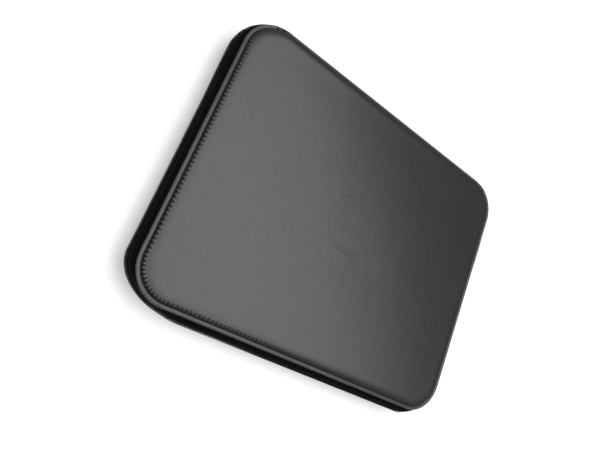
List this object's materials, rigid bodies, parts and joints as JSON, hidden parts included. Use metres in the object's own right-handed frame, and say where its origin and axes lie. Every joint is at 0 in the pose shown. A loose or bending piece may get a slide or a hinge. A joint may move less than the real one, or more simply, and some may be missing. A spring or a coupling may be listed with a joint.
{
  "type": "wireless charging organiser case",
  "caption": "Zip-around padded leather-look case with rounded corners; its front cover hides a wireless charging coil fed by a battery pack inside.",
  "frame": {"origin": "centre of the back cover's outer face, on which the shut case rests", "axes": "+X from the spine to the fore edge, +Y along the spine to the end the phone's top points to, +Z out of the charging face"},
  "size_m": [0.216, 0.2844, 0.03],
  "materials": {
    "cover_leather": "satin",
    "edge_leather": "satin",
    "pocket_leather": "satin",
    "pull_leather": "satin",
    "foam": "matte",
    "greyboard": "matte",
    "lining": "matte",
    "mesh": "matte",
    "elastic": "matte",
    "zip_tape": "matte",
    "zip_teeth": "satin",
    "slider_metal": "gloss",
    "charger_plastic": "matte",
    "screw_steel": "satin",
    "coil_copper": "satin",
    "ferrite": "matte",
    "circuit_board": "satin",
    "component_black": "matte",
    "pack_plastic": "satin",
    "cell_foil": "satin",
    "socket_metal": "satin",
    "light_pipe": "gloss",
    "button_plastic": "satin",
    "lead_rubber": "matte"
  },
  "bodies": {
    "back_cover": {"back_cover_skin": "cover_leather", "back_padding": "foam", "back_board": "greyboard", "back_lining": "lining", "back_edge_binding": "edge_leather", "back_zip_tape": "zip_tape", "back_zip_teeth": "zip_teeth", "back_top_stop": "slider_metal", "back_fold_leather": "cover_leather", "document_pocket": "pocket_leather", "pen_loop": "elastic"},
    "spine": {"spine_skin": "cover_leather", "spine_board": "greyboard", "spine_lining": "lining"},
    "front_cover": {"front_cover_skin": "cover_leather", "front_padding": "foam", "front_board": "greyboard", "front_lining": "lining", "front_edge_binding": "edge_leather", "front_zip_tape": "zip_tape", "front_zip_teeth": "zip_teeth", "front_top_stop": "slider_metal", "front_fold_leather": "cover_leather", "charger_base_shell": "charger_plastic", "charger_top_shell": "charger_plastic", "charger_screws": "screw_steel", "charging_coil": "coil_copper", "ferrite_plate": "ferrite", "charger_board": "circuit_board", "charger_components": "component_black", "battery_pack_lid": "pack_plastic", "battery_pack_tray": "pack_plastic", "battery_cell": "cell_foil", "battery_board": "circuit_board", "battery_components": "component_black", "usb_a_socket": "socket_metal", "usb_c_socket": "socket_metal", "status_lights": "light_pipe", "battery_strap_lower": "elastic", "battery_strap_upper": "elastic", "lead_outlet": "lead_rubber", "charging_lead": "lead_rubber", "usb_plug_shell": "socket_metal", "usb_plug_body": "lead_rubber", "card_pocket_1": "pocket_leather", "card_pocket_2": "pocket_leather", "card_pocket_3": "pocket_leather", "mesh_pocket": "mesh"},
    "button": {"power_button": "button_plastic"},
    "slider": {"zip_slider": "slider_metal"},
    "pull_tab": {"pull_link": "slider_metal", "pull_grip": "pull_leather"}
  },
  "joints": [
    {"name": "spine_fold", "type": "hinge", "parent": "back_cover", "child": "spine", "pos_m": [-0.1039, 0, 0.003], "axis": [0, -1, 0], "range_deg": [0, 90], "deforming": ["back_fold_leather"]},
    {"name": "cover_fold", "type": "hinge", "parent": "spine", "child": "front_cover", "pos_m": [-0.1039, 0, 0.027], "axis": [0, -1, 0], "range_deg": [0, 90], "deforming": ["front_fold_leather"]},
    {"name": "zip_slide", "type": "slide", "parent": "back_cover", "child": "slider", "axis": [1, 0, 0], "range_m": [0, 0.144]},
    {"name": "pull_swing", "type": "hinge", "parent": "slider", "child": "pull_tab", "pos_m": [-0.072, 0.1425, 0.015], "axis": [0, 0, 1], "range_deg": [0, 165]},
    {"name": "button_press", "type": "slide", "parent": "front_cover", "child": "button", "axis": [0, 0, 1], "range_m": [0, 0.0004], "stiffness_N_per_m": 500, "springref_m": -0.001}
  ],
  "couplings": [
    {"joint": "cover_fold", "follows": "spine_fold", "ratio": 1}
  ]
}
